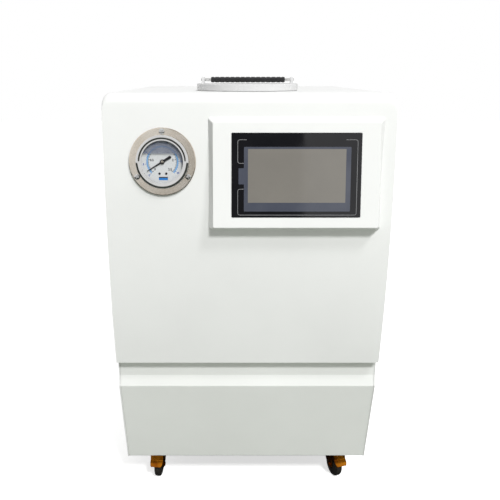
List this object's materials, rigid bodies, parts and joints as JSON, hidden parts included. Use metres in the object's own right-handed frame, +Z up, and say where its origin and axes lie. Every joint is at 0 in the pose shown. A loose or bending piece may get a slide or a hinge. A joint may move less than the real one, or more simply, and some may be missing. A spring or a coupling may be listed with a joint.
{
  "type": "recirculating water bath",
  "caption": "White box-shaped recirculating chiller water bath on swivel casters, with a bowed front, wedge touch screen, round pressure gauge and a round tank lid on top.",
  "frame": {"origin": "centre of the bounding box in plan, on the floor under the wheels", "axes": "+Z up, the screen and gauge face -Y, +X to the right of someone facing the front"},
  "size_m": [0.37, 0.5238, 0.6187],
  "materials": {
    "white_shell": "satin",
    "lower_panel": "satin",
    "galvanised": "satin",
    "black_glass": "gloss",
    "black_plastic": "matte",
    "flange_steel": "satin",
    "gauge_chrome": "polished",
    "bright_steel": "satin",
    "brass": "satin",
    "dial_face": "matte",
    "needle_black": "satin",
    "clear_glass": "clear",
    "foam": "matte",
    "seal_rubber": "matte",
    "copper": "satin",
    "gold_zinc": "satin",
    "wheel_rubber": "matte",
    "grey_paint": "satin",
    "hose": "satin"
  },
  "bodies": {
    "cabinet": {"front_panel": "white_shell", "lower_front_panel": "lower_panel", "left_side_panel": "white_shell", "right_side_panel": "white_shell", "top_cover": "white_shell", "rear_panel": "white_shell", "base_pan": "galvanised", "tank_deck": "galvanised", "screen_bezel": "white_shell", "touch_glass": "black_glass", "display_module": "black_plastic", "gauge_flange": "flange_steel", "gauge_screw_1": "bright_steel", "gauge_screw_2": "bright_steel", "gauge_screw_3": "bright_steel", "gauge_case": "brass", "gauge_dial": "dial_face", "gauge_ring": "gauge_chrome", "gauge_glass": "clear_glass", "tank": "flange_steel", "filler_neck": "flange_steel", "tank_insulation": "foam", "evaporator_coil": "copper", "caster_plate_front_left": "gold_zinc", "caster_plate_front_right": "gold_zinc", "caster_plate_rear_left": "gold_zinc", "caster_plate_rear_right": "gold_zinc", "compressor": "grey_paint", "condenser": "galvanised", "fan_shroud": "galvanised", "fan_motor": "grey_paint", "refrigerant_line": "copper", "pump_motor": "grey_paint", "pump_head": "black_plastic", "suction_hose": "hose", "outlet_hose": "hose", "return_hose": "hose", "electrical_box": "grey_paint", "power_inlet": "black_plastic", "outlet_barb": "brass", "return_barb": "brass", "drain_valve": "brass"},
    "gauge_pointer": {"gauge_needle": "needle_black"},
    "lid": {"tank_lid": "white_shell", "lid_seal": "seal_rubber"},
    "lid_handle": {"handle_bail": "flange_steel", "handle_grip": "black_plastic"},
    "fan": {"fan_blades": "black_plastic"},
    "rocker": {"power_rocker": "black_plastic"},
    "drain_handle": {"drain_lever": "bright_steel"},
    "swivel_front_left": {"caster_fork_front_left": "gold_zinc"},
    "wheel_front_left": {"caster_wheel_front_left": "wheel_rubber"},
    "swivel_front_right": {"caster_fork_front_right": "gold_zinc"},
    "wheel_front_right": {"caster_wheel_front_right": "wheel_rubber"},
    "swivel_rear_left": {"caster_fork_rear_left": "gold_zinc"},
    "wheel_rear_left": {"caster_wheel_rear_left": "wheel_rubber"},
    "swivel_rear_right": {"caster_fork_rear_right": "gold_zinc"},
    "wheel_rear_right": {"caster_wheel_rear_right": "wheel_rubber"},
    "pedal_front_left": {"brake_pedal_front_left": "gold_zinc"},
    "pedal_front_right": {"brake_pedal_front_right": "gold_zinc"}
  },
  "joints": [
    {"name": "gauge_needle_turn", "type": "hinge", "parent": "cabinet", "child": "gauge_pointer", "pos_m": [-0.11, -0.24131, 0.516], "axis": [0, 0.997, -0.0768], "range_deg": [-14, 256]},
    {"name": "lid_lift", "type": "slide", "parent": "cabinet", "child": "lid", "axis": [0, 0, 1], "range_m": [0, 0.12]},
    {"name": "lid_handle_fold", "type": "hinge", "parent": "lid", "child": "lid_handle", "pos_m": [0, -0.103, 0.615], "axis": [-1, 0, 0], "range_deg": [0, 180]},
    {"name": "fan_spin", "type": "hinge", "parent": "cabinet", "child": "fan", "pos_m": [0, 0.19, 0.41], "axis": [0, 1, 0], "continuous": true},
    {"name": "power_rocker_tip", "type": "hinge", "parent": "cabinet", "child": "rocker", "pos_m": [0.126, 0.238, 0.13], "axis": [1, 0, 0], "range_deg": [0, 18]},
    {"name": "drain_lever_turn", "type": "hinge", "parent": "cabinet", "child": "drain_handle", "pos_m": [-0.12, 0.2535, 0.0998], "axis": [0, 0, 1], "range_deg": [0, 90]},
    {"name": "swivel_turn_front_left", "type": "hinge", "parent": "cabinet", "child": "swivel_front_left", "pos_m": [-0.138, -0.141, 0.043], "axis": [0, 0, 1], "continuous": true},
    {"name": "wheel_spin_front_left", "type": "hinge", "parent": "swivel_front_left", "child": "wheel_front_left", "pos_m": [-0.13967, -0.15691, 0.019], "axis": [0.9945, -0.1045, 0], "continuous": true},
    {"name": "pedal_press_front_left", "type": "hinge", "parent": "swivel_front_left", "child": "pedal_front_left", "pos_m": [-0.13988, -0.1589, 0.037], "axis": [0.9945, -0.1045, 0], "range_deg": [0, 9]},
    {"name": "swivel_turn_front_right", "type": "hinge", "parent": "cabinet", "child": "swivel_front_right", "pos_m": [0.138, -0.141, 0.043], "axis": [0, 0, 1], "continuous": true},
    {"name": "wheel_spin_front_right", "type": "hinge", "parent": "swivel_front_right", "child": "wheel_front_right", "pos_m": [0.14347, -0.15604, 0.019], "axis": [0.9397, 0.342, 0], "continuous": true},
    {"name": "pedal_press_front_right", "type": "hinge", "parent": "swivel_front_right", "child": "pedal_front_right", "pos_m": [0.14416, -0.15791, 0.037], "axis": [0.9397, 0.342, 0], "range_deg": [0, 9]},
    {"name": "swivel_turn_rear_left", "type": "hinge", "parent": "cabinet", "child": "swivel_rear_left", "pos_m": [-0.138, 0.195, 0.043], "axis": [0, 0, 1], "continuous": true},
    {"name": "wheel_spin_rear_left", "type": "hinge", "parent": "swivel_rear_left", "child": "wheel_rear_left", "pos_m": [-0.13253, 0.21003, 0.019], "axis": [-0.9397, 0.342, 0], "continuous": true},
    {"name": "swivel_turn_rear_right", "type": "hinge", "parent": "cabinet", "child": "swivel_rear_right", "pos_m": [0.138, 0.195, 0.043], "axis": [0, 0, 1], "continuous": true},
    {"name": "wheel_spin_rear_right", "type": "hinge", "parent": "swivel_rear_right", "child": "wheel_rear_right", "pos_m": [0.13522, 0.21076, 0.019], "axis": [-0.9848, -0.1736, 0], "continuous": true}
  ]
}
